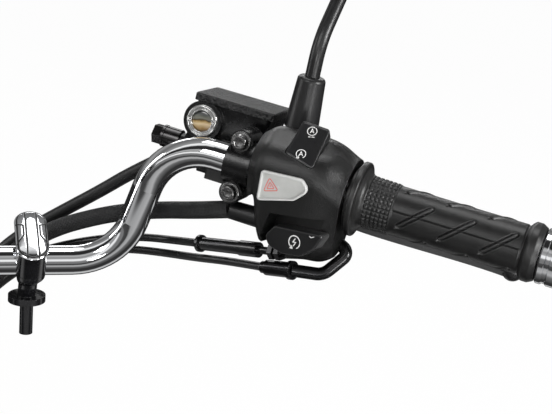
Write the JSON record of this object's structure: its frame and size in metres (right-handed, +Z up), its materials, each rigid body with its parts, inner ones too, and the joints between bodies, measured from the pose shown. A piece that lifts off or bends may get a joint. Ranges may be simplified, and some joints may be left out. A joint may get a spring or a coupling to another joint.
{
  "type": "motor scooter handlebar assembly",
  "caption": "Motor scooter handlebar on clamped risers, with brake master cylinders, levers, twist grip, switch housings, mirrors, bar ends and hanging lines.",
  "frame": {"origin": "midway between the feet of the two risers, on the plane of the top yoke", "axes": "+X to the rider's right, +Y forward, +Z up"},
  "size_m": [0.828, 0.3115, 0.5018],
  "materials": {
    "chrome": "chrome plated, polished",
    "gloss_black": "painted gloss black",
    "cast_black": "cast, satin black paint",
    "lid_black": "cast, fine-grained black",
    "bright_steel": "bright plated",
    "dark_steel": "black oxide",
    "lever_black": "satin black",
    "satin_black": "satin black paint",
    "sight_amber": "clear glass over amber fluid",
    "mirror_silver": "silvered",
    "switch_plastic": "matte grained",
    "button_plastic": "semi-gloss charcoal",
    "pale_plastic": "off-white satin",
    "soft_rubber": "satin",
    "grip_rubber": "matte moulded",
    "hose_rubber": "smooth, dull",
    "sleeve_black": "woven sleeve",
    "cable_black": "smooth sheath"
  },
  "bodies": {
    "bar_assembly": {"handlebar_tube": "chrome", "risers": "gloss_black", "riser_clamps": "gloss_black", "riser_caps": "chrome", "master_cylinder_right": "cast_black", "master_cylinder_left": "cast_black", "reservoir_lid_right": "lid_black", "reservoir_lid_left": "lid_black", "sight_ring_right": "bright_steel", "sight_ring_left": "bright_steel", "sight_glass_right": "sight_amber", "sight_glass_left": "sight_amber", "bar_clamp_right": "cast_black", "bar_clamp_left": "cast_black", "clamp_bolts_right": "dark_steel", "clamp_bolts_left": "dark_steel", "lever_pivot_right": "dark_steel", "lever_pivot_left": "dark_steel", "mirror_boot_right": "soft_rubber", "mirror_boot_left": "soft_rubber", "mirror_stem_right": "satin_black", "mirror_stem_left": "satin_black", "switch_housing_front_right": "switch_plastic", "switch_housing_front_left": "switch_plastic", "grip_left": "grip_rubber", "bar_end_right": "chrome", "bar_end_left": "chrome", "switch_housing_rear_right": "switch_plastic", "switch_housing_rear_left": "switch_plastic", "idle_stop_rocker": "button_plastic", "hazard_button": "pale_plastic", "starter_button": "button_plastic", "dimmer_rocker": "button_plastic", "turn_switch": "button_plastic", "horn_button": "button_plastic", "hose_banjo": "dark_steel", "banjo_bolt": "dark_steel", "cable_adjuster": "dark_steel", "cable_elbow": "dark_steel", "harness_boot": "soft_rubber", "brake_hose": "hose_rubber", "switch_harness": "sleeve_black", "throttle_cable_pull": "cable_black", "throttle_cable_return": "cable_black", "brake_hose_coil": "hose_rubber", "throttle_pull_coil": "cable_black", "throttle_return_coil": "cable_black", "throttle_cable_ends": "bright_steel", "hose_end": "dark_steel", "harness_connector": "pale_plastic", "brake_light_switch": "button_plastic"},
    "brake_lever_right": {"brake_lever_right": "lever_black"},
    "brake_lever_left": {"brake_lever_left": "lever_black"},
    "mirror_cup_right": {"mirror_cup_right": "satin_black"},
    "mirror_cup_left": {"mirror_cup_left": "satin_black"},
    "mirror_head_right": {"mirror_shell_right": "switch_plastic", "mirror_glass_right": "mirror_silver"},
    "mirror_head_left": {"mirror_shell_left": "switch_plastic", "mirror_glass_left": "mirror_silver"},
    "throttle_grip": {"grip_right": "grip_rubber"}
  },
  "joints": [
    {"name": "throttle_twist", "type": "hinge", "parent": "bar_assembly", "child": "throttle_grip", "pos_m": [0.16944, -0.05989, 0.12903], "axis": [0.8243, -0.5497, -0.1357], "range_deg": [0, 75], "stiffness_Nm_per_rad": 0.25, "springref_deg": -22.92},
    {"name": "brake_lever_right_squeeze", "type": "hinge", "parent": "bar_assembly", "child": "brake_lever_right", "pos_m": [0.22379, -0.04467, 0.10272], "axis": [-0.4552, -0.5007, -0.7363], "range_deg": [0, 11], "stiffness_Nm_per_rad": 3, "springref_deg": -14.32},
    {"name": "mirror_right_turn", "type": "hinge", "parent": "bar_assembly", "child": "mirror_cup_right", "pos_m": [0.338, -0.06, 0.318], "axis": [0, 0, 1], "range_deg": [-20, 20]},
    {"name": "mirror_right_tilt", "type": "hinge", "parent": "mirror_cup_right", "child": "mirror_head_right", "pos_m": [0.338, -0.06, 0.318], "axis": [1, 0, 0], "range_deg": [-15, 15]},
    {"name": "brake_lever_left_squeeze", "type": "hinge", "parent": "bar_assembly", "child": "brake_lever_left", "pos_m": [-0.22379, -0.04467, 0.10272], "axis": [-0.4552, 0.5007, 0.7363], "range_deg": [0, 11], "stiffness_Nm_per_rad": 3, "springref_deg": -14.32},
    {"name": "mirror_left_turn", "type": "hinge", "parent": "bar_assembly", "child": "mirror_cup_left", "pos_m": [-0.338, -0.06, 0.318], "axis": [0, 0, 1], "range_deg": [-20, 20]},
    {"name": "mirror_left_tilt", "type": "hinge", "parent": "mirror_cup_left", "child": "mirror_head_left", "pos_m": [-0.338, -0.06, 0.318], "axis": [1, 0, 0], "range_deg": [-15, 15]}
  ]
}
